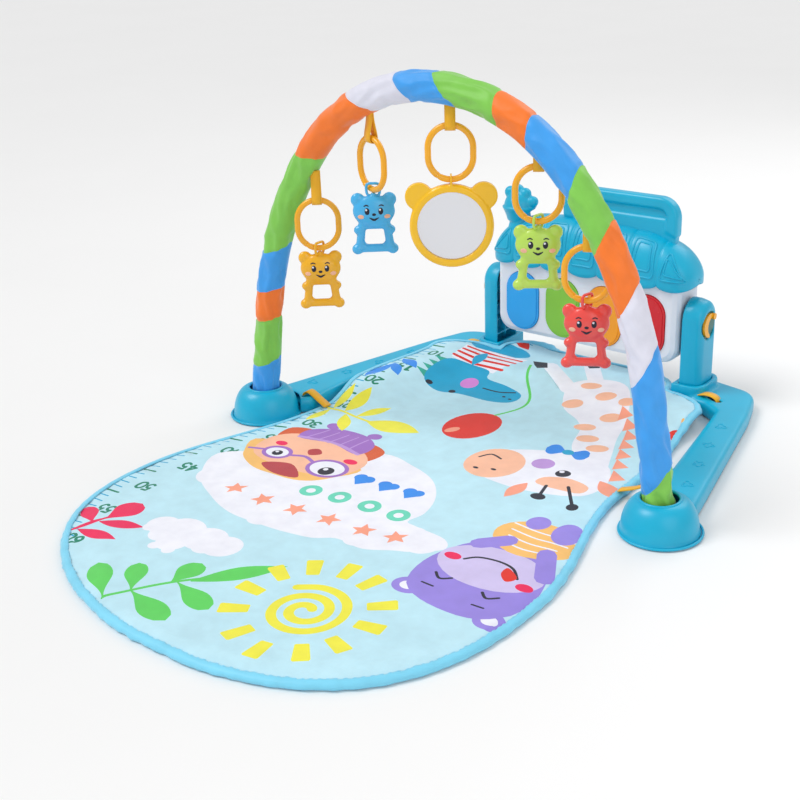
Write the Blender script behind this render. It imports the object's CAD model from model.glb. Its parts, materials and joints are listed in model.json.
import json
import math

import bmesh
import bpy
import numpy as np
from mathutils import Matrix, Vector, noise
from mathutils.bvhtree import BVHTree
from mathutils.geometry import delaunay_2d_cdt


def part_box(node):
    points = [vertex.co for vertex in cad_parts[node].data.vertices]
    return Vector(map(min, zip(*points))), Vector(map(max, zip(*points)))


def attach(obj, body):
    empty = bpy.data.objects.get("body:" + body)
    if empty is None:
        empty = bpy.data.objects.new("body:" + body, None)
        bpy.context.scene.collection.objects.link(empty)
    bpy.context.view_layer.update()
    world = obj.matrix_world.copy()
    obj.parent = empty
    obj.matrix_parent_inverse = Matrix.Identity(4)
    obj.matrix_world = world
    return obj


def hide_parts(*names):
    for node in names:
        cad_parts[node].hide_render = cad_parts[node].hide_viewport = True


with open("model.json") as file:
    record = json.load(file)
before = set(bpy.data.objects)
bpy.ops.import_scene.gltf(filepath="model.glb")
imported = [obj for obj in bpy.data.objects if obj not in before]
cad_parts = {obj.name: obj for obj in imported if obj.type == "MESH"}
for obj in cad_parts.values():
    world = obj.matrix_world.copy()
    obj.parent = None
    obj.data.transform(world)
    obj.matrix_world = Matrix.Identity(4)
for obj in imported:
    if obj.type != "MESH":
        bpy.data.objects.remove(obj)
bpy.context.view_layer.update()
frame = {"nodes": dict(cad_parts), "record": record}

# Activity play gym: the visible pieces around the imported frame, with camera and light.
# Metres, +Z up, piano at +Y. The mat, its prints and the arch are drawn in mm about the arch's plane.
NODES = frame["nodes"]
JOINTS = {j["name"]: j for j in frame["record"]["behaviour"]["joints"]}
MM = 0.001


# ---------- where things are, from the frame ----------
def middle(node):
    low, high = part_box(node)
    return (low + high) / 2


ARCH_Y = middle("arch_sleeve").y


# ---------- colours and materials ----------
def srgb(r, g, b):
    """Linear colour from 0 to 255 values."""
    return tuple((c / 255 / 12.92 if c <= 10 else ((c / 255 + 0.055) / 1.055) ** 2.4) for c in (r, g, b))


THREADS = 0.314  # the wave texture's scale for one thread per unit


def material(name, colour, rough, tint=0.06, tint_scale=40, grain=900, grain_depth=0.00004, weave=0.0,
             weave_pitch=0.0008, spread=0.06, **sockets):
    """A surface with slight colour drift, a fine grain, an uneven gloss and, on cloth, a weave."""
    m = bpy.data.materials.new(name)
    m.use_nodes = True
    nodes, links = m.node_tree.nodes, m.node_tree.links
    shader = nodes["Principled BSDF"]
    for key, value in sockets.items():
        shader.inputs[key.replace("_", " ")].default_value = value
    coords = nodes.new("ShaderNodeTexCoord").outputs["Object"]

    def add(kind, links_in, **values):
        """Adds a shader node, sets its sockets and joins the given outputs to it."""
        node = nodes.new("ShaderNode" + kind)
        for key, value in values.items():
            node.inputs[key.replace("_", " ")].default_value = value
        for key, output in links_in.items():
            links.new(output, node.inputs[key])
        return node

    def noise_at(scale, detail):
        return add("TexNoise", {"Vector": coords}, Scale=scale, Detail=detail).outputs["Fac"]

    drift = add("ValToRGB", {"Fac": noise_at(tint_scale, 3)})
    for stop, at, share in zip(drift.color_ramp.elements, (0.3, 0.7), (1 - tint, 1 + tint)):
        stop.position = at
        stop.color = (*[min(1, c * share) for c in colour], 1)
    gloss = add("MapRange", {"Value": noise_at(tint_scale * 4, 4)},
                To_Min=max(0.02, rough - spread), To_Max=min(1, rough + spread))
    relief = add("Bump", {"Height": noise_at(grain, 2)}, Distance=grain_depth, Strength=0.6)
    for axis in "XYZ" if weave else "":
        wave = add("TexWave", {"Vector": coords}, Scale=THREADS / weave_pitch, Distortion=0.6)
        wave.bands_direction = axis
        relief = add("Bump", {"Height": wave.outputs["Fac"], "Normal": relief.outputs["Normal"]},
                     Distance=weave, Strength=0.5)
    links.new(drift.outputs["Color"], shader.inputs["Base Color"])
    links.new(gloss.outputs["Result"], shader.inputs["Roughness"])
    links.new(relief.outputs["Normal"], shader.inputs["Normal"])
    return m


def plastic(name, colour, rough=0.34, **more):
    """Moulded plastic with a thin, soft coat of gloss."""
    return material(name, colour, rough, tint=0.04, tint_scale=25, grain=1400, grain_depth=0.00005,
                    **{"IOR": 1.48, "Coat_Weight": 0.12, "Coat_Roughness": 0.25, **more})


def cloth(name, colour, rough=0.72, **more):
    """Woven polyester with a little sheen."""
    return material(name, colour, rough, tint=0.05, tint_scale=60, grain=700, grain_depth=0.00008,
                    weave=0.00006, **{"Sheen_Weight": 0.25, "Sheen_Roughness": 0.4, **more})


CYAN = plastic("cyan_plastic", srgb(0, 176, 214), 0.36)
WHITE_CASE = plastic("white_plastic", srgb(232, 234, 244), 0.38, Subsurface_Weight=0.05)
PALE_TUBE = plastic("tube_plastic", srgb(228, 230, 236))
YELLOW = plastic("ring_yellow", srgb(250, 176, 18), 0.24, Coat_Weight=0.35)
MIRROR_YELLOW = plastic("mirror_yellow", srgb(255, 196, 10), 0.22, Coat_Weight=0.4)
BEAR = {number: plastic("bear_" + name, srgb(*rgb), 0.22, Coat_Weight=0.4) for number, name, rgb in (
    (1, "yellow", (246, 180, 20)), (2, "blue", (66, 180, 238)),
    (4, "lime", (188, 224, 92)), (5, "coral", (240, 78, 72)))}
KEYS = [plastic("key_" + name, srgb(*rgb), 0.25, Coat_Weight=0.3) for name, rgb in (
    ("blue", (50, 168, 242)), ("green", (136, 200, 62)), ("orange", (252, 162, 28)), ("red", (214, 22, 36)))]
TEAL = plastic("pivot_teal", srgb(16, 104, 96))
BADGE = plastic("badge_orange", srgb(252, 176, 24), 0.25)
RUBBER = material("dark_rubber", srgb(52, 52, 58), 0.8, grain=500, grain_depth=0.0001)
STEEL = material("zinc_steel", srgb(180, 182, 186), 0.35, grain=1200, Metallic=1.0)
BOARD = material("solder_mask", srgb(22, 104, 52), 0.4, grain=600)
CONE = material("speaker_cone", srgb(70, 70, 76), 0.7, grain=500, grain_depth=0.0001)
CELL = material("cell_sleeve", srgb(52, 128, 78), 0.3, grain=800)
GLASS = material("mirror_film", srgb(222, 223, 228), 0.12, tint=0.01, tint_scale=12, grain=40,
                 grain_depth=0.0002, spread=0.04, Metallic=0.85)
RIBBON = material("ribbon", srgb(246, 180, 22), 0.6, tint=0.05, grain=700, weave=0.00012, weave_pitch=0.0011,
                  Sheen_Weight=0.2)
BINDING = cloth("binding_tape", srgb(126, 214, 244), 0.5, Sheen_Weight=0.35)
STITCH = cloth("stitch_thread", srgb(150, 220, 246), 0.6)
STRIPE = {name: cloth("sleeve_" + name, srgb(*rgb), 0.5) for name, rgb in (
    ("blue", (56, 160, 240)), ("green", (130, 205, 80)),
    ("orange", (250, 122, 32)), ("white", (226, 226, 240)))}
INKS = {
    "cloud": (240, 241, 252), "crimson": (236, 22, 88), "green": (92, 210, 92), "leaf": (28, 168, 72),
    "yellow": (240, 234, 62), "peach": (250, 190, 158), "coral": (250, 160, 132), "amber": (248, 192, 108),
    "rust": (216, 92, 44), "wine": (184, 60, 68), "violet": (160, 110, 196), "lilac": (190, 150, 218),
    "purple": (152, 134, 224), "lavender": (208, 196, 238), "pink": (214, 132, 214), "teal": (16, 164, 208),
    "sea": (46, 170, 150), "mint": (104, 214, 186), "royal": (44, 140, 236), "red": (228, 40, 20),
    "ink": (30, 30, 48), "ruler": (10, 130, 102),
}
PRINT = {
    "sky": cloth("mat_sky", srgb(190, 230, 243)),
    **{name: cloth("print_" + name, srgb(*rgb)) for name, rgb in INKS.items()},
    "back": cloth("mat_back", srgb(206, 232, 240), 0.8),
}
NODE_LOOK = {
    CYAN: ["tube_connector", "roof", "handle", "roof_figure", *(
        side + part for side in ("left_", "right_") for part in ("rail", "rail_cover", "foot_dome", "post"))],
    WHITE_CASE: ["case_front", "case_back", "battery_tray", "battery_door"],
    PALE_TUBE: ["left_tube", "right_tube"],
    MIRROR_YELLOW: ["mirror_frame", "mirror_back"],
    TEAL: ["left_pivot", "right_pivot"],
    BADGE: ["left_badge", "right_badge", "power_switch"],
    RUBBER: ["floor_pads", "key_contacts"],
    STEEL: ["rail_screws", "case_screws", "battery_contacts"],
    BOARD: ["circuit_board"],
    CONE: ["speaker"],
    CELL: ["batteries"],
    GLASS: ["mirror_glass"],
    KEYS[0]: ["mode_button"],
    KEYS[3]: ["volume_button"],
}


def dress_nodes():
    """Gives every CAD node that stays visible its finish."""
    looks = {name: look for look, names in NODE_LOOK.items() for name in names}
    looks.update({f"key_{number}": look for number, look in enumerate(KEYS, 1)})
    for name, look in looks.items():
        NODES[name].data.materials.clear()
        NODES[name].data.materials.append(look)


# ---------- small drawing and modelling tools ----------
def spline(points, closed=True, steps=5):
    """Smooth curve through a few points, in any number of dimensions."""
    p = [np.array(q, float) for q in points]
    n = len(p)
    out = []
    for i in range(n if closed else n - 1):
        if closed:
            a, b, c, d = p[i - 1], p[i], p[(i + 1) % n], p[(i + 2) % n]
        else:
            a, b, c, d = p[max(i - 1, 0)], p[i], p[i + 1], p[min(i + 2, n - 1)]
        for k in range(steps):
            t = k / steps
            out.append(0.5 * (2 * b + (c - a) * t + (2 * a - 5 * b + 4 * c - d) * t ** 2
                              + (3 * b - a - 3 * c + d) * t ** 3))
    if not closed:
        out.append(p[-1])
    return out


def oval(x, y, rx, ry=None, turn=0, steps=28):
    """Outline of an ellipse about (x, y), turned by so many degrees."""
    ry = ry or rx
    c, s = math.cos(math.radians(turn)), math.sin(math.radians(turn))
    angles = [2 * math.pi * k / steps for k in range(steps)]
    ring = [(rx * math.cos(a), ry * math.sin(a)) for a in angles]
    return [(x + u * c - v * s, y + u * s + v * c) for u, v in ring]


def circle(r, steps=12):
    return oval(0, 0, r, steps=steps)


def stroke(points, width, closed=False, steps=5, taper=1.0):
    """Outline of a brush line with round ends. taper is the far end's width over the start's."""
    line = [np.array(q, float) for q in (spline(points, closed, steps) if len(points) > 2 else points)]
    if closed:
        line.append(line[0])
    left, right = [], []
    n = len(line)
    for i, q in enumerate(line):
        along = line[min(i + 1, n - 1)] - line[max(i - 1, 0)]
        along = along / max(1e-9, np.linalg.norm(along))
        side = np.array((-along[1], along[0])) * width / 2 * (1 + (taper - 1) * i / (n - 1))
        left.append(q + side)
        right.append(q - side)

    def cap(q, start, sign):
        a0 = math.atan2(start[1] - q[1], start[0] - q[0])
        r = math.hypot(start[0] - q[0], start[1] - q[1])
        angles = [a0 + sign * a for a in (-0.8, -1.57, -2.35)]
        return [(q[0] + r * math.cos(a), q[1] + r * math.sin(a)) for a in angles]

    if closed:
        return left + right[::-1]
    return left + cap(line[-1], left[-1], 1) + right[::-1] + cap(line[0], right[0], 1)


def leaf(x0, y0, x1, y1, width, club=1.0, bend=0.0, steps=12):
    """Leaf from its stalk to its tip. club above 1 moves its widest place towards a round tip."""
    base, tip = np.array((x0, y0), float), np.array((x1, y1), float)
    along = tip - base
    side = np.array((-along[1], along[0])) / np.linalg.norm(along)
    half = []
    for k in range(steps + 1):
        t = k / steps
        w = width / 2 * (math.sin(math.pi * t ** club) if club <= 1 or t ** club < 0.5
                         else math.sqrt(max(0, 1 - ((t - 0.5 ** (1 / club)) / (1 - 0.5 ** (1 / club))) ** 2)))
        half.append((t, w + 0.6 * (1 - t)))
    spine = [base + along * t + side * bend * math.sin(math.pi * t) for t, _ in half]
    left = [c + side * w for c, (_, w) in zip(spine, half)]
    right = [c - side * w for c, (_, w) in zip(spine, half)]
    return left + right[::-1]


def linked(name, data):
    """A new object that shows the data, placed at the origin."""
    obj = bpy.data.objects.new(name, data)
    bpy.context.scene.collection.objects.link(obj)
    return obj


def new_mesh(name, verts, faces, looks, face_looks=None, smooth=True):
    mesh = bpy.data.meshes.new(name)
    mesh.from_pydata([tuple(v) for v in verts], [], faces)
    for look in looks:
        mesh.materials.append(look)
    if face_looks is not None:
        mesh.polygons.foreach_set("material_index", face_looks)
    mesh.polygons.foreach_set("use_smooth", [smooth] * len(mesh.polygons))
    mesh.update()
    return linked(name, mesh)


def place(piece, body, node):
    """The piece rides on its body and is shown in place of the CAD node."""
    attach(piece, body)
    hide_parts(node)


def thicken(sheet):
    """Gives a sheet the thickness of its cloth, inwards."""
    cloth_thickness = sheet.modifiers.new("thickness", "SOLIDIFY")
    cloth_thickness.thickness = 0.0005
    cloth_thickness.offset = -1


def grid_faces(rows, cols, wrap_rows=False, wrap_cols=True):
    """Quads over rows of points, each row cols long."""
    faces = []
    for i in range(rows if wrap_rows else rows - 1):
        for j in range(cols if wrap_cols else cols - 1):
            a, b = i * cols + j, i * cols + (j + 1) % cols
            c, d = ((i + 1) % rows) * cols + (j + 1) % cols, ((i + 1) % rows) * cols + j
            faces.append((a, b, c, d))
    return faces


def sweep(path, section, up=(0, 0, 1), closed=False):
    """Points and faces of a section, a list of (across, up) pairs, carried along a path, with end caps."""
    path = [Vector(p) for p in path]
    n = len(path)
    up = Vector(up)
    verts = []
    for i, p in enumerate(path):
        a = path[(i - 1) % n] if closed or i else path[0]
        b = path[(i + 1) % n] if closed or i < n - 1 else path[-1]
        along = (b - a).normalized()
        across = along.cross(up).normalized()
        lift = across.cross(along)
        shape = section(i) if callable(section) else section
        verts += [p + across * u + lift * v for u, v in shape]
    m = len(verts) // n
    faces = grid_faces(n, m, closed)
    if not closed:
        faces += [tuple(range(m - 1, -1, -1)), tuple((n - 1) * m + k for k in range(m))]
    return verts, faces


def remeshed(name, build, voxel, rounds, look):
    """Joins the shapes that build(bm) adds into one smooth moulded skin."""
    bm = bmesh.new()
    build(bm)
    mesh = bpy.data.meshes.new(name)
    bm.to_mesh(mesh)
    bm.free()
    obj = linked(name, mesh)
    remesh = obj.modifiers.new("skin", "REMESH")
    remesh.mode = "VOXEL"
    remesh.voxel_size = voxel
    soften = obj.modifiers.new("soften", "SMOOTH")
    soften.factor = 0.5
    soften.iterations = rounds
    bpy.context.view_layer.update()
    shaped = bpy.data.meshes.new_from_object(obj.evaluated_get(bpy.context.evaluated_depsgraph_get()))
    obj.modifiers.clear()
    obj.data = shaped
    obj.data.name = name
    obj.data.materials.clear()
    obj.data.materials.append(look)
    obj.data.polygons.foreach_set("use_smooth", [True] * len(obj.data.polygons))
    return obj


def add_ball(bm, at, radii, turn=Matrix.Identity(4)):
    size = Matrix.Diagonal((*radii, 1))
    bmesh.ops.create_uvsphere(bm, u_segments=32, v_segments=20, radius=1,
                              matrix=Matrix.Translation(at) @ turn @ size)


def add_rod(bm, a, b, r_a, r_b=None):
    a, b = Vector(a), Vector(b)
    turn = (b - a).to_track_quat("Z", "Y").to_matrix().to_4x4()
    bmesh.ops.create_cone(bm, cap_ends=True, segments=32, radius1=r_a, radius2=r_b or r_a,
                          depth=(b - a).length, matrix=Matrix.Translation((a + b) / 2) @ turn)


def search_tree(mesh, scale=1):
    """A search tree over a mesh, scaled up first."""
    return BVHTree.FromPolygons([v.co * scale for v in mesh.vertices], [p.vertices[:] for p in mesh.polygons])


def add_node(bm, node):
    bm.from_mesh(NODES[node].data)


def moulded_node(node, voxel, rounds, look, body):
    """A CAD shell with its edges softened the way a moulding has them."""
    piece = remeshed(node + "_shell", lambda bm: add_node(bm, node), voxel, rounds, look)
    place(piece, body, node)


# ---------- the arch ----------
# Each half of the arch is a straight leg that leans inwards, a shoulder of one radius and half the crown.
LEG_X, LEG_LEN, LEG_LEAN = 240, 125, math.radians(8.5)
SHOULDER_R, SHOULDER_END = 361, math.radians(38.4)
FOOT_X, FOOT_Z = LEG_X - LEG_LEN * math.sin(LEG_LEAN), LEG_LEN * math.cos(LEG_LEAN)
SHOULDER_X, SHOULDER_Z = FOOT_X - SHOULDER_R * math.cos(LEG_LEAN), FOOT_Z - SHOULDER_R * math.sin(LEG_LEAN)
CROWN_R = (SHOULDER_X + SHOULDER_R * math.cos(SHOULDER_END)) / math.cos(SHOULDER_END)
CROWN_Z = SHOULDER_Z + (SHOULDER_R - CROWN_R) * math.sin(SHOULDER_END)
SHOULDER_S = LEG_LEN + SHOULDER_R * (SHOULDER_END - LEG_LEAN)
ARCH_LEN = 2 * (SHOULDER_S + CROWN_R * (math.pi / 2 - SHOULDER_END))
SLEEVE_R, SLEEVE_END = 13.5, 25


def arch(s):
    """(x, z) of the arch's centre line and its outward direction, s mm along it from the left foot."""
    side = -1 if s < ARCH_LEN / 2 else 1
    s = min(s, ARCH_LEN - s)
    if s < LEG_LEN:
        x, z, a = LEG_X - s * math.sin(LEG_LEAN), s * math.cos(LEG_LEAN), LEG_LEAN
    elif s < SHOULDER_S:
        a = LEG_LEAN + (s - LEG_LEN) / SHOULDER_R
        x, z = SHOULDER_X + SHOULDER_R * math.cos(a), SHOULDER_Z + SHOULDER_R * math.sin(a)
    else:
        a = SHOULDER_END + (s - SHOULDER_S) / CROWN_R
        x, z = CROWN_R * math.cos(a), CROWN_Z + CROWN_R * math.sin(a)
    return side * x, z, side * math.cos(a), math.sin(a)


def arch_under(x):
    """Height of the underside of the sleeve at x mm from the middle."""
    drawn_in = SLEEVE_R - 0.5
    if abs(x) < CROWN_R * math.cos(SHOULDER_END):
        return CROWN_Z + math.sqrt((CROWN_R - drawn_in) ** 2 - x * x)
    return SHOULDER_Z + math.sqrt((SHOULDER_R - drawn_in) ** 2 - (abs(x) - SHOULDER_X) ** 2)


def sleeve():
    """The striped fabric sleeve. Each seam is a slanted ring, given by its distance along the arch in mm on
    the outer and on the inner side of the bend. The cloth is loose on the inner side."""
    seams = [(59, 71), (111, 120), (144, 154), (186, 205), (302, 318), (387, 412), (444, 460), (484, 511),
             (548, 561), (584, 598), (640, 659), (690, 710), (744, 768), (797, 830), (903, 928)]
    order = ["blue", "green", "orange", "blue", "green", "orange", "white"] * 3
    looks = ["blue", "green", "orange", "white"]
    stations = [(SLEEVE_END, SLEEVE_END)] + seams + [(ARCH_LEN - SLEEVE_END, ARCH_LEN - SLEEVE_END)]
    row_pitch, cols, seam_turn = 2.6, 72, 0.644
    rows, stripe = [], []
    for k, ((o0, i0), (o1, i1)) in enumerate(zip(stations, stations[1:])):
        length = (o1 + i1 - o0 - i0) / 2
        count = max(4, round(length / row_pitch))
        for j in range(count):
            t = j / count * (0.5 if j == 1 else 1)
            middles = (o0 + i0) / 2 * (1 - t) + (o1 + i1) / 2 * t
            rows.append((middles, (i0 - o0) * (1 - t) + (i1 - o1) * t, t, length))
            stripe.append(looks.index(order[k]))
    rows.append((ARCH_LEN - SLEEVE_END, 0, 1, 50))
    verts = []
    for mid, skew, t, length in rows:
        phase = -seam_turn * math.cos(math.pi * mid / ARCH_LEN)
        from_seam = min(t, 1 - t) * length
        for j in range(cols):
            phi = 2 * math.pi * j / cols
            s = mid - skew / 2 * math.cos(phi - phase)
            x, z, nx, nz = arch(s)
            inner = 0.5 - 0.5 * math.cos(phi)
            ends = max(0, 1 - min(s, ARCH_LEN - s) / 110)
            loose = 0.45 + 0.55 * inner + 0.9 * ends
            q = Vector((s * 0.034, math.cos(phi - s * 0.012) * 1.1, math.sin(phi - s * 0.012) * 1.1))
            fold = 1 - abs(noise.noise(q + Vector((3, 1, 7)))) * 3.2
            fine = noise.noise(Vector((s * 0.16, math.cos(phi) * 2.2 + s * 0.05, math.sin(phi) * 2.2)))
            r = SLEEVE_R + loose * (2.1 * fold + 0.6 * fine - 0.8)
            r -= 0.9 * math.exp(-(from_seam / 1.3) ** 2)
            r += 0.25 * math.sin(s * 0.9 + 3 * phi) * math.exp(-(from_seam / 5) ** 2)
            r = min(max(r, 11.7), 14.9 - 1.2 * inner)
            verts.append(((x + nx * r * math.cos(phi)) * MM, ARCH_Y + r * math.sin(phi) * MM,
                          (z + nz * r * math.cos(phi)) * MM))
    faces = grid_faces(len(rows), cols)
    index = [stripe[i] for i in range(len(rows) - 1) for _ in range(cols)]
    piece = new_mesh("striped_sleeve", verts, faces, [STRIPE[k] for k in looks], index)
    thicken(piece)
    place(piece, "base", "arch_sleeve")


# ---------- the mat ----------
# Its edge runs from a round free end by a slight waist to rounded rear corners and a narrower, rounded tab.
WIDE_Y, WAIST_Y, CORNER_Y, TAB_Y = -175, 40, 222, 262
WIDE_HALF, WAIST_HALF, REAR_HALF, TAB_HALF, TIP_HALF = 231, 188, 166, 112, 61
END_REACH, TIP_REACH = 210, 41
MAT_OFF = -7
MAT_LOW, MAT_HIGH = (-245, -380), (246, 304)
BACK_Z = 0.6


def ease(a, b, t):
    """From a to b as t goes from 0 to 1, starting and ending gently."""
    return a + (b - a) * (1 - math.cos(math.pi * min(1, max(0, t)))) / 2


def rounded(t):
    """Height of a quarter circle of radius 1 at t from its middle."""
    return math.sqrt(max(0, 1 - t ** 2))


def half_width(y):
    """Half the mat's width at y, in mm."""
    if y < WIDE_Y:
        return WIDE_HALF * max(0, 1 - ((WIDE_Y - y) / END_REACH) ** 2.5) ** (1 / 2.1)
    if y < WAIST_Y:
        return ease(WIDE_HALF, WAIST_HALF, (y - WIDE_Y) / (WAIST_Y - WIDE_Y))
    if y < CORNER_Y:
        return ease(WAIST_HALF, REAR_HALF, (y - WAIST_Y) / (CORNER_Y - WAIST_Y))
    if y < TAB_Y:
        return TAB_HALF + (REAR_HALF - TAB_HALF) * rounded((y - CORNER_Y) / (TAB_Y - CORNER_Y))
    return TIP_HALF + (TAB_HALF - TIP_HALF) * rounded((y - TAB_Y) / TIP_REACH)


def left_spill(y):
    """How much further the left side reaches, where it lies over the rail, in mm."""
    return ease(0, 18, (y - 50) / 110) * rounded(max(0, y - 235) / 27)


def mat_lift(x, y):
    """How far the mat rises to lie on the rails, in mm. The left side rises sooner and higher."""
    side = min(1, max(0, (abs(x) / (half_width(y) + 4) - 0.62) / 0.30))
    side = side * side * (3 - 2 * side)
    rear = ease(0, 1, (y - 150) / 80)
    early = ease(0, 1, (y - 45) / 55) if x < 0 else 0
    return max(12.5 * rear + 7.5 * rear * side * (x < 0), 18 * early * side)


def mat_middle(y):
    """Where the middle of the mat's width lies at y, in mm."""
    if y < WIDE_Y:
        return MAT_OFF + 28 * ((WIDE_Y - y) / END_REACH) ** 2.2
    return MAT_OFF if y < WAIST_Y else ease(MAT_OFF, 0, (y - WAIST_Y) / 120)


def inward(ring, i):
    """The direction into a closed outline at its point i."""
    along = ring[(i + 1) % len(ring)] - ring[i - 1]
    along = along / np.linalg.norm(along)
    return np.array((-along[1], along[0]))


def mat_outline(inset=0.0):
    """The mat's edge, inset by so many mm, as (x, y) going anticlockwise."""
    def sines(angles):
        return [math.sin(math.radians(a)) for a in angles]

    ys = [WIDE_Y - END_REACH * v for v in sines((84, *range(80, 59, -5), *range(54, 5, -6)))]
    ys += [WIDE_Y + (CORNER_Y - WIDE_Y) * k / 48 for k in range(49)]
    ys += [CORNER_Y + (TAB_Y - CORNER_Y) * v for v in sines((12, 24, 36, 48, 60, 75, 90))]
    ys += [TAB_Y + TIP_REACH * v for v in sines(range(15, 91, 15))]
    right = [np.array((mat_middle(y) + half_width(y), y)) for y in ys]
    left = [np.array((mat_middle(y) - half_width(y) - left_spill(y), y)) for y in ys]
    ring = right + left[::-1]
    return [q + inward(ring, i) * inset for i, q in enumerate(ring)]


def digit_strokes(d):
    """Centre lines of a digit in a box 6 wide and 10 high."""
    return {
        0: [[(3, 0), (0.4, 2), (0.4, 8), (3, 10), (5.6, 8), (5.6, 2), (3, 0)]],
        1: [[(1.5, 8), (3.4, 10)], [(3.4, 10), (3.4, 0)]],
        2: [[(0.6, 8), (3, 10), (5.4, 8), (4, 4.6), (0.6, 0)], [(0.6, 0), (5.6, 0)]],
        3: [[(0.8, 9), (3.2, 10), (5.2, 7.8), (2.6, 5.4)], [(2.6, 5.4), (5.6, 3), (3.2, 0), (0.5, 1.2)]],
        4: [[(4.2, 0), (4.2, 10)], [(4.2, 10), (0.4, 3)], [(0.4, 3), (5.8, 3)]],
        5: [[(5.2, 10), (1.2, 10)], [(1.2, 10), (0.9, 5.8)],
            [(0.9, 5.8), (3.4, 6.4), (5.5, 3.4), (3.2, 0), (0.5, 1)]],
        6: [[(4.6, 9.6), (1.4, 7), (0.5, 3), (3, 0), (5.5, 2.8), (3.2, 5.6), (0.9, 4)]],
    }[d]


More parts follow.
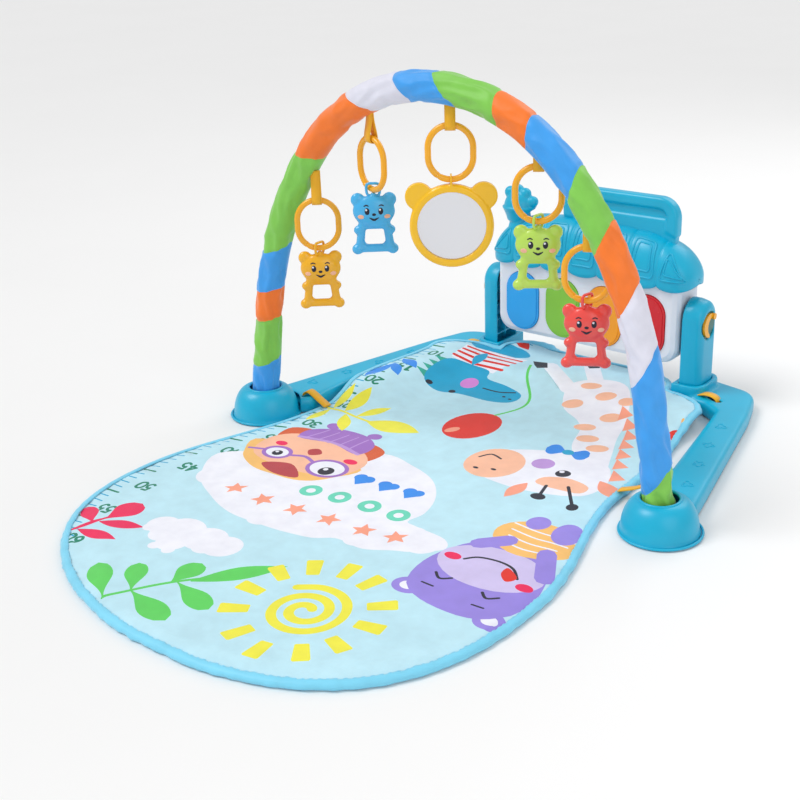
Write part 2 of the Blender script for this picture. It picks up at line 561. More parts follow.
def prints():
    """Everything printed on the mat, as (colour, outline) from the bottom up, in mm about the arch."""
    p = []

    def blob(colour, *points, steps=5):
        p.append((colour, [tuple(q) for q in spline(points, True, steps)]))

    def flat(colour, *points):
        p.append((colour, list(points)))

    def disc(colour, *at):
        p.append((colour, oval(*at)))

    def discs(colour, *places):
        for at in places:
            disc(colour, *at)

    def line(colour, width, *points, taper=1.0):
        p.append((colour, stroke(points, width, taper=taper)))

    def sprig(colour, *leaves):
        p.extend((colour, leaf(*each)) for each in leaves)

    # ruler along the left edge, read from the far side
    for cm in range(2, 64):
        y = 312 - 9.9 * cm + 5
        if not -330 < y < 300:
            continue
        x = mat_middle(y) - half_width(y) - left_spill(y) + 9
        main = cm % 5 == 0
        line("ruler" if main else "teal", 2.7 if main else 1.7, (x, y), (x + (15 if main else 10), y))
    for value, x, y in ((60, -170, -310), (55, -191, -257), (50, -197, -205), (45, -194, -153),
                        (40, -186, -104), (35, -174, -57), (30, -165, -7), (25, -170, 51), (20, -167, 98),
                        (15, -160, 145), (10, -155, 197), (5, -172, 268)):
        text = [int(c) for c in str(value)]
        for k, d in enumerate(text):
            left = (k - len(text) / 2) * 7.6 + 0.8
            for part in digit_strokes(d):
                line("ruler", 2.9, *[(x - 1.3 * (left + u), y - 1.3 * (v - 5)) for u, v in part])
    # sprigs near the free end
    sprig("crimson", (-187, -305, -173, -266, 5), (-174, -272, -168, -233, 29, 1.5),
          (-179, -282, -210, -262, 16, 1.4), (-174, -278, -132, -263, 14), (-180, -297, -135, -292, 13))
    line("crimson", 3, (-190, -308), (-180, -290), (-174, -268))
    for x, y, r in ((-122, -250, 15), (-100, -248, 22), (-72, -246, 20), (-50, -247, 18), (-92, -266, 15),
                    (-110, -262, 12), (-62, -256, 12), (-128, -259, 7), (-84, -278, 6), (-100, -279, 6)):
        disc("cloud", x, y, r)
    line("green", 3.4, (-68, -361), (-58, -341), (-38, -312), (-24, -296))
    sprig("green", (-28, -304, 20, -240, 19), (-68, -361, -116, -326, 21, 1.7),
          (-58, -341, -87, -307, 19, 1.6), (-40, -315, -42, -278, 23, 1.5), (-36, -311, 15, -325, 21, 1.6),
          (-58, -341, 0, -356, 23, 1.6))
    # spiral sun
    sun_x, sun_y = 78, -283
    arms = [(6 + 31 * k / 26, 0.54 * k + 1) for k in range(27)]
    line("yellow", 8.4, *[(sun_x + r * math.cos(a), sun_y + r * math.sin(a)) for r, a in arms])
    for x, y in ((67, -218), (94, -222), (124, -244), (135, -273), (131, -305), (116, -328), (88, -344),
                 (58, -335), (30, -312), (20, -283), (22, -252), (39, -229)):
        away = Matrix.Rotation(math.atan2(y - sun_y, x - sun_x), 2)
        flat("yellow", *[tuple(Vector((x, y)) + away @ Vector(q)) for q in (
            (-12, -4.6), (-11, -5.6), (11, -7.2), (12.6, -6), (12.6, 6), (11, 7.2), (-11, 5.6), (-12, 4.6))])
    # big cloud with coloured shapes
    blob("cloud", (-193, -115), (-170, -160), (-130, -185), (-100, -197), (-70, -200), (-5, -195),
         (20, -180), (50, -182), (75, -170), (90, -163), (110, -145), (100, -130), (65, -124), (52, -120),
         (55, -100), (45, -70), (20, -42), (-15, -28), (-55, -22), (-100, -60), (-150, -80))
    for x, y, r in ((-60, -190, 13), (36, -170, 13), (90, -148, 16), (70, -136, 12), (-158, -150, 20)):
        disc("cloud", x, y, r)
    for k, (x, y) in enumerate(((-122, -160), (-84, -163), (-46, -160), (-8, -158), (30, -155), (62, -150))):
        star = [(x + (12 if j % 2 else 5.6) * math.sin(j * math.pi / 5 + k), y + (12 if j % 2 else 5.6)
                 * math.cos(j * math.pi / 5 + k)) for j in range(10)]
        flat("coral", *star)
    for x, y in ((-28, -120), (6, -118), (38, -116), (-60, -124)):
        disc("mint", x, y, 11)
        disc("cloud", x, y, 4.6)
    for x, y in ((-34, -80), (-6, -78), (22, -76)):
        disc("royal", x - 4.5, y + 3, 6.6)
        disc("royal", x + 4.5, y + 3, 6.6)
        flat("royal", (x - 10.4, y + 0.5), (x, y - 12), (x + 10.4, y + 0.5))
    # animal in a knitted hat and round glasses, head towards the free end
    blob("rust", (-148, -18), (-175, -26), (-174, -50), (-150, -54))
    blob("rust", (-80, -14), (-56, -20), (-58, -48), (-82, -50))
    blob("amber", (-180, -62), (-176, -96), (-150, -114), (-118, -118), (-84, -114), (-62, -94), (-56, -60))
    blob("peach", (-178, -58), (-160, -34), (-118, -28), (-74, -32), (-52, -56), (-64, -90), (-112, -101),
         (-166, -92))
    blob("violet", (-152, -40), (-157, -20), (-138, -3), (-118, 2), (-92, -2), (-73, -16), (-76, -40),
         (-114, -34))
    discs("violet", (-142, 2, 8, 7), (-88, 3, 8, 7))
    for k in range(5):
        line("lilac", 1.8, (-146 + 14 * k, -35), (-143 + 13.4 * k, -20), (-140 + 13 * k, -7))
    line("lilac", 4.4, (-154, -38), (-114, -32), (-75, -39))
    for x, y, r in ((-147, -78, 17), (-79, -80, 23)):
        p.append(("violet", oval(x, y, r, r * 0.82)))
        disc("cloud", x, y, r - 4.4, r * 0.82 - 4.2)
    line("violet", 4, (-130, -76), (-116, -71), (-102, -76))
    line("violet", 3.6, (-163, -80), (-178, -86))
    discs("ink", (-146, -79, 5.6), (-76, -85, 8.2))
    discs("cloud", (-148, -77, 1.9), (-79, -82, 2.6))
    discs("crimson", (-158, -60, 7, 4.6), (-70, -56, 8, 5))
    blob("wine", (-123, -58), (-115, -51), (-106, -58), (-115, -66))
    blob("wine", (-143, -104), (-116, -91), (-90, -110), (-116, -116))
    # yellow sprig and balloon
    line("yellow", 3.6, (-183, 38), (-150, 35), (-112, 31))
    sprig("yellow", (-122, 31, -58, 38, 30), (-140, 36, -122, 72, 13), (-158, 38, -160, 86, 17),
          (-176, 40, -182, 84, 13), (-152, 32, -128, -2, 14), (-178, 36, -177, -4, 12))
    disc("red", -24, 84, 28, 37)
    disc("coral", -35, 64, 5, 9, -24)
    line("green", 3, (-20, 121), (-8, 150), (-12, 175), (-38, 209), (-52, 238))
    # long-nosed green friend with a striped shirt, and the leaves beside it
    sprig("royal", (-178, 164, -150, 152, 15), (-176, 146, -154, 124, 12), (-182, 100, -176, 148, 13))
    blob("teal", (-188, 288), (-150, 286), (-115, 272), (-80, 271), (-68, 258), (-88, 244), (-112, 238),
         (-140, 246), (-148, 264))
    flat("cloud", (-142, 240), (-64, 250), (-78, 200), (-138, 203))
    for k in range(4):
        line("red", 4.2, (-138, 208 + 9.5 * k), (-72 + 1.5 * k, 209 + 11 * k))
    for y in (190, 178, 167, 155):
        flat("sea", (-136, y + 6), (-153, y + 1), (-137, y - 6))
    blob("teal", (-138, 196), (-142, 168), (-134, 146), (-112, 140), (-88, 148), (-50, 149), (-26, 158),
         (-24, 176), (-50, 186), (-78, 190), (-86, 203), (-118, 205))
    sprig("teal", (-112, 238, -110, 204, 13))
    disc("pink", -92, 174, 10.5)
    discs("ink", (-128, 147, 4), (-98, 149, 4), (-40, 166, 2.2, 1.4), (-31, 164, 2.2, 1.4))
    line("ink", 2, (-72, 172), (-52, 172), (-33, 178))
    sprig("red", (-103, 288, -124, 276, 14), (-103, 288, -80, 276, 14))
    # tall spotted friend
    for x0, y0, x1, y1 in ((-34, 250, 18, 206), (8, 272, 42, 226)):
        line("cloud", 18, (x0, y0), (x1, y1))
    for x, y in ((-44, 244), (6, 275)):
        flat("ink", (x - 13, y + 7), (x + 3, y + 12), (x + 12, y - 2), (x + 3, y - 10), (x - 5, y - 3))
    blob("cloud", (15, 215), (30, 175), (60, 155), (75, 135), (88, 98), (118, 62), (150, 50), (133, 98),
         (116, 140), (102, 188), (72, 240), (40, 246))
    blob("cloud", (22, 6), (60, -10), (112, -12), (152, 6), (160, 42), (140, 78), (96, 82), (52, 62),
         (26, 36))
    blob("peach", (106, 6), (146, 8), (150, 26), (124, 31), (104, 22))
    disc("peach", 47, 22, 29, 33)
    for x, y in ((37, 222), (64, 207), (37, 183), (88, 175), (75, 145), (112, 107), (92, 122), (92, 207)):
        disc("peach", x, y, 11.5, 8.2, 30)
    for x, y in ((95, 185), (110, 168), (121, 149), (128, 128), (137, 106), (146, 84), (156, 60)):
        flat("coral", (x - 6, y + 13), (x + 13, y + 2), (x + 2, y - 11))
    sprig("coral", (152, 44, 182, 24, 19), (98, 2, 96, -34, 15))
    line("ink", 3.4, (116, 7), (122, -14))
    line("ink", 3.4, (135, 15), (156, -13))
    discs("ink", (122, -17, 7.4, 6), (158, -16, 5.4, 6.6))
    line("ink", 2.4, (27, 25), (34, 36), (47, 33))
    discs("ink", (38, 3, 3, 2), (54, 10, 3, 2), (115, 38, 7.6))
    disc("cloud", 112, 41, 2.6)
    disc("lilac", 87, 47, 11.5)
    sprig("royal", (93, 83, 70, 80, 23, 1.6), (93, 83, 115, 86, 23, 1.6))
    disc("teal", 93, 83, 6)
    disc("red", 165, 176, 10)
    line("amber", 3, (164, 184), (157, 203))
    sprig("green", (-4, 300, 24, 286, 14))
    # round purple friend, head towards the free end
    for x, y in ((121, -208), (205, -214)):
        disc("purple", x, y, 14, 12)
        disc("cloud", x, y, 7, 6)
    blob("purple", (108, -160), (118, -206), (160, -222), (204, -212), (216, -165), (190, -110), (130, -112))
    disc("lavender", 160, -147, 50, 32)
    disc("amber", 165, -86, 40, 31)
    for k in range(4):
        line("cloud", 2.0, (133 + 4 * k, -70 - 11 * k), (165, -73 - 11 * k), (197 - 4 * k, -70 - 11 * k))
    for at in (((128, -118), (146, -100)), ((205, -136), (186, -102))):
        line("purple", 17, *at)
    discs("purple", (150, -59, 11, 12), (181, -62, 13, 20, 12))
    discs("crimson", (122, -148, 8, 5.4), (200, -158, 8, 5.4))
    line("ink", 2.6, (133, -147), (142, -138), (160, -134), (176, -138), (188, -150))
    blob("red", (172, -139), (187, -149), (182, -158), (172, -150))
    line("ink", 2.6, (127, -178), (135, -184), (143, -178))
    line("ink", 2.6, (176, -182), (184, -188), (192, -182))
    line("ink", 2, (127, -197), (138, -197))
    line("ink", 2, (180, -202), (191, -202))
    return p


def inside(points, ring):
    """Which points lie inside a ring, by winding number."""
    ring = np.asarray(ring)
    a, b = ring, np.roll(ring, -1, 0)
    x, y = points[:, :1], points[:, 1:]
    cross = (b[:, 0] - a[:, 0]) * (y - a[:, 1]) - (x - a[:, 0]) * (b[:, 1] - a[:, 1])
    up = (a[:, 1] <= y) & (b[:, 1] > y) & (cross > 0)
    down = (a[:, 1] > y) & (b[:, 1] <= y) & (cross < 0)
    return (up.sum(1) - down.sum(1)) != 0


def from_edge(points, ring):
    """Distance in mm from each point to a closed outline."""
    ring = np.asarray(ring)
    best = np.full(len(points), 1e9)
    for a, b in zip(ring, np.roll(ring, -1, 0)):
        d = b - a
        t = np.clip(((points - a) @ d) / max(1e-9, d @ d), 0, 1)
        best = np.minimum(best, np.hypot(*(points - a - t[:, None] * d).T))
    return best


def mat_grid(edge, step, gap):
    """Points every step mm over the mat, more than gap mm inside its edge."""
    (x0, y0), (x1, y1) = MAT_LOW, MAT_HIGH
    grid = np.array([(x, y) for y in np.arange(y0, y1, step) for x in np.arange(x0, x1, step)])
    return grid[inside(grid, edge) & (from_edge(grid, edge) > gap)]


def round_ring(start, count):
    """Index pairs that join count points, from start on, into a closed ring."""
    return [(start + k, start + (k + 1) % count) for k in range(count)]


def triangles(coords, edges):
    """Delaunay triangles that keep the given edges, as an array of points and a list of faces."""
    verts, _, faces, _, _, _ = delaunay_2d_cdt(coords, edges, [], 1, 0.02)
    return np.array([tuple(v) for v in verts]), [f for f in faces if len(f) == 3]


def mat_height(points, edge):
    """Height of the quilted top in mm: plump in the middle, drawn down along the tape, with soft dents."""
    d = from_edge(points, edge)
    out = []
    for (x, y), gap in zip(points, d):
        dent = noise.noise(Vector((x * 0.012, y * 0.009, 4))) * 1.3
        dent += noise.noise(Vector((x * 0.04, y * 0.03, 9))) * 0.5
        pull = noise.noise(Vector((x * 0.08, y * 0.08, 2))) * 1.9 * math.exp(-gap / 20)
        out.append(5.4 + 3.0 * (1 - math.exp(-gap / 16)) + (dent + pull) * min(1, gap / 6) + mat_lift(x, y))
    return np.array(out)


SETTLE_FRAMES = 24


def settled_skin(edge):
    """A search tree of the mat's top skin, settled as cloth over the stuffing. The cloth is cut a little
    larger than its frame and held all along the tape, so it puckers there. It settles at ten times full size."""
    flat, faces = triangles([Vector(q) for q in edge] + [Vector(q) for q in mat_grid(edge, 8.0, 4)],
                            round_ring(0, len(edge)))
    filling = mat_height(flat, edge)
    skin_gap, scale = 1.2, 100
    stuffing = new_mesh("stuffing", [(x / scale, y / scale, (z - skin_gap) / scale)
                                     for (x, y), z in zip(flat, filling)], faces, [BINDING])
    stuffing.modifiers.new("hold", "COLLISION")
    stuffing.collision.thickness_outer = 0.002
    settling = new_mesh("settling", [(x / scale, y / scale, z / scale) for (x, y), z in zip(flat, filling)],
                        faces, [BINDING])
    held = settling.vertex_groups.new(name="tape")
    held.add([int(k) for k in np.where(from_edge(flat, edge) < 2.0)[0]], 1.0, "ADD")
    sim = settling.modifiers.new("cloth", "CLOTH")
    sim.settings.quality = 5
    sim.settings.mass = 0.2
    sim.settings.tension_stiffness = sim.settings.compression_stiffness = 12
    sim.settings.bending_stiffness = 0.4
    sim.settings.shrink_min = sim.settings.shrink_max = -0.008
    sim.settings.vertex_group_mass = held.name
    sim.collision_settings.distance_min = 0.002
    sim.collision_settings.collision_quality = 2
    sim.point_cache.frame_end = SETTLE_FRAMES
    ease_out = settling.modifiers.new("stuffing_softness", "SMOOTH")
    ease_out.factor = 0.5
    ease_out.iterations = 10
    scene = bpy.context.scene
    for moment in range(1, SETTLE_FRAMES + 1):
        scene.frame_set(moment)
    shaped = settling.evaluated_get(bpy.context.evaluated_depsgraph_get()).to_mesh()
    tree = search_tree(shaped, scale)
    bpy.data.objects.remove(settling)
    bpy.data.objects.remove(stuffing)
    scene.frame_set(1)
    return tree


def mat():
    """The printed padded mat: one skin cut along every printed outline, a flat back and a closed edge."""
    edge = [tuple(q) for q in mat_outline(4.0)]
    marks = prints()
    coords, edges = [Vector(q) for q in edge], round_ring(0, len(edge))
    clip = [tuple(q) for q in mat_outline(4.6)]
    for _, ring in marks:
        ring = np.array(ring)
        keep = inside(ring, clip)
        start = len(coords)
        coords += [Vector(q) for q in ring]
        edges += [(a, b) for a, b in round_ring(start, len(ring)) if keep[a - start] and keep[b - start]]
    coords += [Vector(q) for q in mat_grid(edge, 5.0, 2.5)]
    flat, faces = triangles(coords, edges)
    used = sorted({v for f in faces for v in f})
    lookup = {v: k for k, v in enumerate(used)}
    flat = flat[used]
    faces = [tuple(lookup[v] for v in f) for f in faces]
    tri = np.array(faces)
    centre = flat[tri].mean(1)
    names = list(PRINT)
    face_look = np.zeros(len(faces), int)
    for colour, ring in marks:
        ring = np.array(ring)
        near = np.where(((centre >= ring.min(0)) & (centre <= ring.max(0))).all(1))[0]
        if len(near):
            face_look[near[inside(centre[near], ring)]] = names.index(colour)
    top = mat_height(flat, edge)
    skin = settled_skin(edge)
    for k, (x, y) in enumerate(flat):
        hit = skin.ray_cast(Vector((x, y, 90)), Vector((0, 0, -1)))[0]
        if hit:
            top[k] = min(max(hit.z, top[k] - 2), top[k] + 6)
    n = len(flat)
    verts3 = [(x * MM, ARCH_Y + y * MM, z * MM) for (x, y), z in zip(flat, top)]
    verts3 += [(x * MM, ARCH_Y + y * MM, (BACK_Z + mat_lift(x, y)) * MM) for x, y in flat]
    sides = {side: True for a, b, c in faces for side in ((a, b), (b, c), (c, a))}
    rim = [(a, b) for a, b in sides if (b, a) not in sides]
    all_faces = faces + [(c + n, b + n, a + n) for a, b, c in faces] + [(b, a, a + n, b + n) for a, b in rim]
    looks = list(face_look) + [names.index("back")] * len(faces) + [0] * len(rim)
    piece = new_mesh("printed_mat", verts3, all_faces, [PRINT[k] for k in names], looks)
    place(piece, "base", "mat")


TAPE_WIDTH, TIE_WIDTH, STRAP_WIDTH = 0.023, 0.0104, 0.0102


def binding():
    """The gathered tape sewn round the mat, with its row of stitches."""
    ring = [np.array(q) for q in mat_outline(0)]
    dense = []
    for i, q in enumerate(ring):
        nxt = ring[(i + 1) % len(ring)]
        count = max(1, round(np.linalg.norm(nxt - q) / 3.2))
        dense += [q + (nxt - q) * k / count for k in range(count)]
    n = len(dense)
    section = [(7.6, 6.3), (6.8, 7.2), (5.2, 7.5), (3.0, 7.0), (1.2, 5.7), (0.3, 3.9), (0.5, 2.1), (1.8, 0.9),
               (5, 0.5), (8, 0.5)]
    verts, length = [], 0
    for i, q in enumerate(dense):
        length += np.linalg.norm(dense[(i + 1) % n] - q)
        for k, (u, z) in enumerate(section):
            pucker = noise.noise(Vector((length * 0.11, k * 0.25, 5))) + 0.6 * noise.noise(
                Vector((length * 0.3, k * 0.4, 1)))
            shift = pucker * (0.9 if k < 6 else 0.15)
            at = q + inward(dense, i) * (u + (1.1 * pucker if 0 < k < 7 else 0.6 * pucker) + 0.3)
            high = max(0.4, z + shift * (0.6 if k else 0.3)) + mat_lift(at[0], at[1])
            verts.append((at[0] * MM, ARCH_Y + at[1] * MM, high * MM))
    faces = grid_faces(n, len(section), wrap_rows=True, wrap_cols=False)
    tape = new_mesh("mat_tape", verts, faces, [BINDING])
    thicken(tape)
    stitches_v, stitches_f = [], []
    for i in range(0, n - 1, 2):
        a = Vector(verts[i * len(section) + 1]).lerp(Vector(verts[i * len(section)]), 0.4)
        b = Vector(verts[(i + 1) * len(section) + 1]).lerp(Vector(verts[(i + 1) * len(section)]), 0.4)
        lift = Vector((0, 0, 0.00035))
        v, f = sweep([a, a.lerp(b, 0.3) + lift, a.lerp(b, 0.7) + lift, b], circle(0.00032, 6))
        stitches_f += [tuple(k + len(stitches_v) for k in g) for g in f]
        stitches_v += v
    stitches = new_mesh("mat_stitches", stitches_v, stitches_f, [STITCH])
    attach(stitches, "base")
    place(tape, "base", "mat_binding")


def ribbon(path, reach, thickness, across):
    """A woven ribbon along a path. It reaches so far to each side, along the direction given."""
    t = thickness / 2
    section = [(-t, -reach), (-t * 1.5, 0), (-t, reach), (t, reach), (t * 1.5, 0), (t, -reach)]
    return sweep(path, section, up=across)


def joined(name, parts, look, smooth=True):
    verts, faces = [], []
    for v, f in parts:
        faces += [tuple(k + len(verts) for k in g) for g in f]
        verts += list(v)
    return new_mesh(name, verts, faces, [look], smooth=smooth)


def ties():
    """Ribbons that hold the mat to slots in the rails."""
    parts, length = [], 0
    for side in (-1, 1):
        for x0, x1, y in ((-183 if side < 0 else 176, 212, 38), (side * 100, 163, 269)):
            path = [Vector((x0 * MM, ARCH_Y + y * MM, 0.0085)),
                    Vector(((x0 * 0.6 + side * x1 * 0.4) * MM, ARCH_Y + (y + 1) * MM, 0.0135)),
                    Vector(((x0 * 0.2 + side * x1 * 0.8) * MM, ARCH_Y + y * MM, 0.0205)),
                    Vector((side * x1 * MM, ARCH_Y + (y - 1) * MM, 0.019)),
                    Vector((side * (x1 + 3) * MM, ARCH_Y + y * MM, 0.012))]
            path = [Vector(q) for q in spline(path, False, 6)]
            length += sum((b - a).length for a, b in zip(path, path[1:]))
            parts.append(ribbon(path, TIE_WIDTH / 2, 0.0009, (0, 1, 0)))
    piece = joined("mat_tie_ribbons", parts, RIBBON)
    place(piece, "base", "mat_ties")


# ---------- hanging rings and toys ----------
TOY_YAW = {1: 40, 2: 40, 3: 36, 4: 33, 5: 30}


def local(at, yaw):
    """The frame at a point, turned about the vertical."""
    return Matrix.Translation(at) @ Matrix.Rotation(yaw, 4, "Z")


def ring_and_strap(i):
    """A split ring of bent wire and the ribbon loop that holds it under the sleeve."""
    joint = JOINTS[f"ring_{i}_swing"]
    top, axis = Vector(joint["pos_m"]), Vector(joint["axis"])
    m = local(top, math.atan2(axis.y, axis.x))
    bend, straight, drop, wire = 0.020, 0.008, 0.024, 0.0029
    steps, away_from_split, half_turn, step_aside = 46, 148, 185, 0.0028
    path = []
    for k in range(-steps, steps + 1):
        a = math.radians(away_from_split + half_turn * k / steps)
        s, c = math.sin(a), -math.cos(a)
        past = max(0, abs(k) - steps + 4) / 4
        path.append(m @ Vector((bend * s, math.copysign(step_aside * past * past, k),
                                bend * c + math.copysign(straight / 2, c) - drop)))

    def wire_end(j):
        from_end = min(j, len(path) - 1 - j)
        return circle(wire * math.sqrt(max(0.15, min(1, (from_end + 0.6) / 3))), 14)

    verts, faces = sweep(path, wire_end, up=m.to_3x3() @ Vector((0, 1, 0)))
    ring = new_mesh(f"hanging_ring_{i}", verts, faces, [YELLOW])
    place(ring, f"ring_{i}", f"ring_{i}")
    x = top.x / MM
    under = arch_under(x) * MM - top.z + 0.0012
    off = (ARCH_Y - top.y)
    line = [(off - 0.0006, under), (off * 0.5 - 0.0014, under * 0.55 + 0.002), (-0.0041, 0.0016),
            (-0.0033, -0.0027), (0, -0.0046), (0.0033, -0.0027), (0.0041, 0.0016),
            (off * 0.5 + 0.0014, under * 0.55 + 0.002), (off + 0.0006, under)]
    smooth = spline(line, False, 5)
    verts, faces = ribbon([m @ Vector((0, y, z)) for y, z in smooth], 0.0048, 0.0008, axis)
    strap = new_mesh(f"ring_strap_{i}", verts, faces, [RIBBON])
    place(strap, "base", f"strap_{i}")


def patch(outline, skin, m, depth, lift=0.00025):
    """A thin raised print on a moulded face: the outline is dropped onto the skin along the face's depth."""
    centre = np.mean(outline, 0)
    rings = []
    for scale, high in ((1, -0.1), (0.96, 1), (0.5, 1), (0, 1)):
        row = []
        for q in ([centre] if scale == 0 else outline):
            x, z = centre + (np.array(q) - centre) * scale
            start = m @ Vector((x * MM, -0.04, z * MM))
            hit, normal, _, _ = skin.ray_cast(start, m.to_3x3() @ Vector((0, 1, 0)), 0.08)
            if hit is None:
                hit, normal = m @ Vector((x * MM, depth, z * MM)), m.to_3x3() @ Vector((0, -1, 0))
            row.append(hit + normal * lift * high)
        rings.append(row)
    n = len(outline)
    verts = [v for row in rings for v in row]
    faces = grid_faces(3, n)
    faces += [(2 * n + k, 2 * n + (k + 1) % n, 3 * n) for k in range(n)]
    return verts, faces


def bear(i):
    """A moulded teether bear with a handle below its arms, a loop for the ring and a printed face."""
    joint = JOINTS[f"toy_{i}_swing"]
    at, axis = Vector(joint["pos_m"]), Vector(joint["axis"])
    m = local(at, math.radians(TOY_YAW[i]))
    hook = local(at, math.atan2(axis.y, axis.x) - math.radians(38))

    def build(bm):
        for s in (-1, 1):
            add_ball(bm, (s * 0.0148, 0.001, -0.0098), (0.0068, 0.0042, 0.0068))
            add_rod(bm, (s * 0.0112, 0, -0.031), (s * 0.0146, 0, -0.0555), 0.0037, 0.0041)
            add_ball(bm, (s * 0.0146, 0, -0.0385), (0.0052, 0.0046, 0.0046))
            add_ball(bm, (s * 0.0118, 0, -0.0535), (0.0042, 0.0038, 0.0042))
            add_ball(bm, (s * 0.0166, -0.0004, -0.0568), (0.0056, 0.0050, 0.0052))
        add_rod(bm, (-0.0146, 0, -0.0562), (0.0146, 0, -0.0562), 0.0040)
        add_rod(bm, (-0.0110, 0, -0.0345), (0.0110, 0, -0.0345), 0.0034)
        add_ball(bm, (0, 0, -0.0204), (0.0200, 0.0080, 0.0152))
        add_ball(bm, (0, 0, -0.0228), (0.0186, 0.0076, 0.0142))
        add_rod(bm, (0, 0, -0.0075), (0, 0, -0.003), 0.0028, 0.0022)
        bmesh.ops.transform(bm, matrix=m, verts=bm.verts)

    body = remeshed(f"bear_{i}_body", build, 0.0009, 8, BEAR[i])
    loop = [hook @ Vector((0, y * MM, z * MM)) for y, z in spline(
        [(0, -5.6), (5.0, -5.2), (6.4, 0), (5.4, 4.8), (0, 5.6), (-5.4, 4.8), (-6.4, 0), (-5.0, -5.2)])]
    v, f = sweep(loop, circle(0.0013, 10), up=hook.to_3x3() @ Vector((1, 0, 0)), closed=True)
    wire = new_mesh(f"bear_{i}_loop", v, f, [BEAR[i]])
    skin = search_tree(body.data)
    dark, pale, blush = [], [], []
    for s in (-1, 1):
        dark.append(oval(s * 6.4, -19.2, 2.3, 3.3))
        pale.append((s * 6.4 - 0.7, -17.8, 0.95))
        dark.append(stroke([(s * 4.9, -14.2), (s * 7, -13.3), (s * 9.2, -14.4)], 0.8))
        blush.append(oval(s * 12.4, -24.6, 2.9, 2.1))
    dark.append(oval(0, -22.2, 1.9, 1.3))
    dark.append(stroke([(-4.2, -25.4), (0, -28.2), (4.2, -25.4)], 0.8))
    faces = {
        "marks": (PRINT["ink"], [patch(o, skin, m, -0.0075) for o in dark]),
        "glints": (PRINT["cloud"], [patch(oval(x, z, r), skin, m, -0.0078, 0.00045) for x, z, r in pale]),
        "cheeks": (PRINT["peach"], [patch(o, skin, m, -0.0072, 0.00018) for o in blush]),
    }
    pieces = [body, wire] + [joined(f"bear_{i}_{k}", parts, look) for k, (look, parts) in faces.items()]
    for piece in pieces:
        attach(piece, f"toy_{i}")
    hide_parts(f"bear_{i}")


# ---------- piano details ----------
def on_surface(nodes):
    """A search tree over several CAD nodes."""
    verts, faces = [], []
    for name in nodes:
        mesh = NODES[name].data
        start = len(verts)
        verts += [v.co.copy() for v in mesh.vertices]
        faces += [tuple(start + k for k in p.vertices) for p in mesh.polygons]
    return BVHTree.FromPolygons(verts, faces)


ROOF_LOW, ROOF_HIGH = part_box("roof")
ROOF_HALF, ROOF_DEEP = ROOF_HIGH.x / MM, (ROOF_HIGH.y - ROOF_LOW.y) / MM / 2
ROOF_Y, ROOF_TOP, EAVE, TILE = (ROOF_HIGH.y + ROOF_LOW.y) / 2, ROOF_HIGH.z / MM - 1, 138, 36


def tile_offset(x):
    """Distance in mm from the middle of the nearest roof tile."""
    return abs((x / TILE + 0.5) % 1 - 0.5) * TILE


def roof_point(x, phi, lift=0.0, drop=0.0):
    """A point on the roof, x mm from the middle. phi runs from 0 at the front eave to pi at the back eave."""
    e = min(1, abs(x) / ROOF_HALF)
    deep = (ROOF_DEEP - 2) * max(0, 1 - e ** 9) ** 0.36
    tall = (ROOF_TOP - EAVE) * max(0, 1 - e ** 4.0) ** 0.62
    c, s = math.cos(phi), math.sin(phi)
    d = tile_offset(x)
    out = lift + 1.1 * math.cos(math.pi * d / TILE) - 0.8 * math.exp(-((TILE / 2 - d) / 1.1) ** 2) - 0.6
    y = -math.copysign(abs(c) ** 0.86, c) * deep - c * out * min(1, deep / 12)
    z = EAVE + abs(s) ** 0.96 * tall + s * out
    return Vector((x * MM, ROOF_Y + y * MM, (z - drop) * MM))


def roof():
    """The moulded roof: pillowed tiles with valleys between them, scalloped eaves and raised outlines."""
    xs = [ROOF_HALF * u for u in [-1, -0.9995, -0.998, -0.995] + [k / 140 for k in range(-139, 140)]
          + [0.995, 0.998, 0.9995, 1]]
    verts = []
    for x in xs:
        fall = 4.5 + 5.5 * math.sqrt(max(0, math.cos(math.pi * tile_offset(x) / TILE)))
        lip = [(-5, fall - 6), (-3.4, fall), (-1.6, fall + 0.9), (-0.3, fall), (0, fall * 0.6)]
        front = [roof_point(x, 0, *q) for q in lip]
        over = [roof_point(x, math.pi * k / 48) for k in range(49)]
        back = [roof_point(x, math.pi, *q) for q in lip[::-1]]
        verts += front + over + back
    piece = new_mesh("tiled_roof", verts, grid_faces(len(xs), len(verts) // len(xs), wrap_cols=False), [CYAN])
    place(piece, "piano", "roof")
    marks = []
    for k in range(-3, 4):
        x = k * TILE
        for shrink in (0, 4.4):
            w0, w1, top = 14.4 - shrink, 11.4 - shrink, 1.08 - shrink * 0.03
            lean = 0
            if abs(k) == 3:
                w1, lean, top = 1.6, -math.copysign(7, x), 0.95 - shrink * 0.05
            foot = 0.05 + shrink * 0.035
            corners = [(x - w0, foot), (x + w0, foot), (x + lean + w1, top), (x + lean - w1, top)]
            ring = []
            for (u0, v0), (u1, v1) in zip(corners, corners[1:] + corners[:1]):
                ring += [(u0 + (u1 - u0) * t, v0 + (v1 - v0) * t) for t in (0.1, 0.3, 0.5, 0.7, 0.9)]
            path = [roof_point(u, v, 0.05) for u, v in (tuple(q) for q in spline(ring, True, 3))]
            marks.append(sweep(path, circle(0.0011, 8), up=(0.02, -0.7, 0.7), closed=True))
    outline = joined("roof_tile_marks", marks, CYAN)
    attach(outline, "piano")


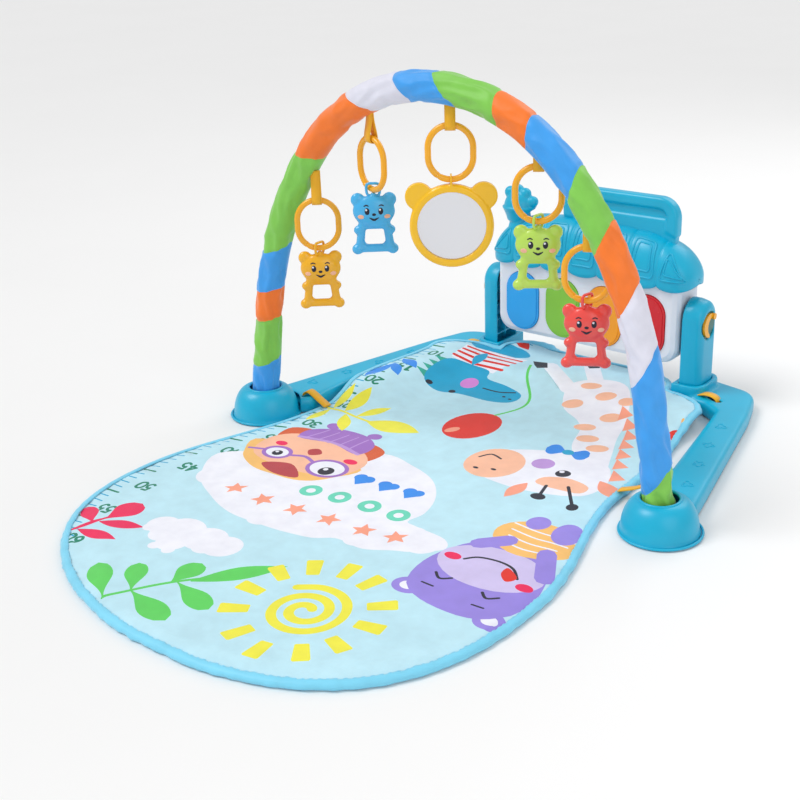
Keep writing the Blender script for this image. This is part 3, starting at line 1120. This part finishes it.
def handle():
    """The carrying handle, its plinth sunk into the ridge of the roof."""
    low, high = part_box("handle")

    def build(bm):
        add_node(bm, "handle")
        size = Matrix.Diagonal((high.x - low.x - 0.004, (high.y - low.y) * 0.8, 0.034, 1))
        at = middle("handle")
        bmesh.ops.create_cube(bm, size=1, matrix=Matrix.Translation((at.x, at.y, low.z)) @ size)

    piece = remeshed("handle_shell", build, 0.0012, 12, CYAN)
    place(piece, "piano", "handle")


def figure():
    """The little figure on the roof, on a neck that flares into the tiles."""
    low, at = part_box("roof_figure")[0], middle("roof_figure")

    def build(bm):
        add_node(bm, "roof_figure")
        add_rod(bm, (at.x, at.y, low.z - 0.020), (at.x, at.y, low.z + 0.004), 0.0190, 0.0120)
        add_rod(bm, (at.x, at.y, low.z), (at.x, at.y, low.z + 0.012), 0.0125, 0.0105)

    piece = remeshed("figure_shell", build, 0.0010, 12, CYAN)
    place(piece, "piano", "roof_figure")


def dome_beads(side):
    """The bead round the foot of a dome and the rolled lip round its opening."""
    node = side + "_foot_dome"
    low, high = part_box(node)
    at, lean = middle(node), math.tan(LEG_LEAN) * (1 if side == "left" else -1)
    reach = (high.y - low.y) / 2
    parts = []
    for r, z, wire in ((reach + 0.0004, 0.0022, 0.0013), (0.0183, high.z - 0.0006, 0.0015)):
        ring = [Vector((at.x + (z - high.z / 2) * lean * 0.5 + r * math.cos(a), at.y + r * math.sin(a), z))
                for a in (math.tau * k / 96 for k in range(96))]
        parts.append(sweep(ring, circle(wire, 10), closed=True))
    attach(joined(side + "_dome_beads", parts, CYAN), "base")


def rail_marks():
    """Small raised shapes along the top of each rail."""
    skin = on_surface(["left_rail", "right_rail"])
    marks = []
    for k, (x, y) in enumerate(((198, 205), (208, 157), (219, 112), (230, 67))):
        for side in (-1, 1):
            shape = [(side * x + 4.6 * math.cos(a) * (1 + 0.34 * math.cos((3 + k % 3) * a)),
                      y + 4.6 * math.sin(a) * (1 + 0.34 * math.cos((3 + k % 3) * a)))
                     for a in (math.tau * j / 40 for j in range(40))]
            path = []
            for u, v in shape:
                hit = skin.ray_cast(Vector((u * MM, ARCH_Y + v * MM, 0.06)), Vector((0, 0, -1)), 0.06)[0]
                if hit:
                    path.append(hit)
            if len(path) == len(shape):
                marks.append(sweep(path, circle(0.0006, 8), closed=True))
    if marks:
        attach(joined("rail_top_marks", marks, CYAN), "base")


# ---------- camera, light and floor ----------
def camera():
    """The photograph's view, from a fit of the lens, the place and the three turns."""
    az, el, roll = 0.6442, 0.3884, -0.0198
    d = Vector((-math.sin(az) * math.cos(el), math.cos(az) * math.cos(el), -math.sin(el)))
    r = Vector((math.cos(az), math.sin(az), 0))
    u = r.cross(d)
    c, s = math.cos(roll), math.sin(roll)
    right, up = c * r + s * u, -s * r + c * u
    data = bpy.data.cameras.new("view")
    data.sensor_width = 36
    data.lens = 56.98
    data.shift_x, data.shift_y = -0.0626, -0.0002
    data.clip_start = 0.01
    cam = linked("view", data)
    rotation = Matrix((right, up, -d)).transposed().to_4x4()
    cam.matrix_world = Matrix.Translation((0.68247, ARCH_Y - 0.89385, 0.5305)) @ rotation
    bpy.context.scene.camera = cam


def light(name, at, target, size, power):
    """A round soft light at one place, turned towards another."""
    data = bpy.data.lights.new(name, "AREA")
    data.shape, data.size, data.energy = "DISK", size, power
    obj = linked(name, data)
    obj.location = at
    obj.rotation_euler = (Vector(target) - Vector(at)).to_track_quat("-Z", "Y").to_euler()


def studio():
    """A soft key light, two weak fills, a white world and a white floor."""
    sun = bpy.data.lights.new("key", "SUN")
    sun.energy, sun.angle = 1.35, 0.45
    key = linked("key", sun)
    key.rotation_euler = Vector((0.55, 0.5, -1)).to_track_quat("-Z", "Y").to_euler()
    light("fill", (1.5, -0.7, 0.9), (0, 0, 0.1), 1.4, 5)
    light("back", (0.2, 1.4, 1.3), (0, 0.1, 0.15), 1.2, 6)
    world = bpy.data.worlds.new("pale")
    bpy.context.scene.world = world
    world.use_nodes = True
    sky = world.node_tree.nodes["Background"].inputs
    sky["Color"].default_value = (1, 1, 1, 1)
    sky["Strength"].default_value = 0.60
    side = 6.0
    floor = new_mesh("floor", [(-side, -side, 0), (side, -side, 0), (side, side, 0), (-side, side, 0)],
                     [(0, 1, 2, 3)], [material("floor_white", (0.9, 0.9, 0.9), 0.6, tint=0.005, tint_scale=3,
                                               grain=60, grain_depth=0.00002)], smooth=False)
    bpy.context.scene.view_settings.view_transform = "Standard"


dress_nodes()
sleeve()
mat()
binding()
ties()
for number in range(1, 6):
    ring_and_strap(number)
for number in (1, 2, 4, 5):
    bear(number)
roof()
handle()
rail_marks()
figure()
for side in ("left", "right"):
    dome_beads(side)
    moulded_node(side + "_rail", 0.0015, 9, CYAN, "base")
    moulded_node(side + "_post", 0.0012, 8, CYAN, "base")
    moulded_node(side + "_foot_dome", 0.0012, 8, CYAN, "base")
moulded_node("mirror_frame", 0.0008, 10, MIRROR_YELLOW, "toy_3")
camera()
studio()
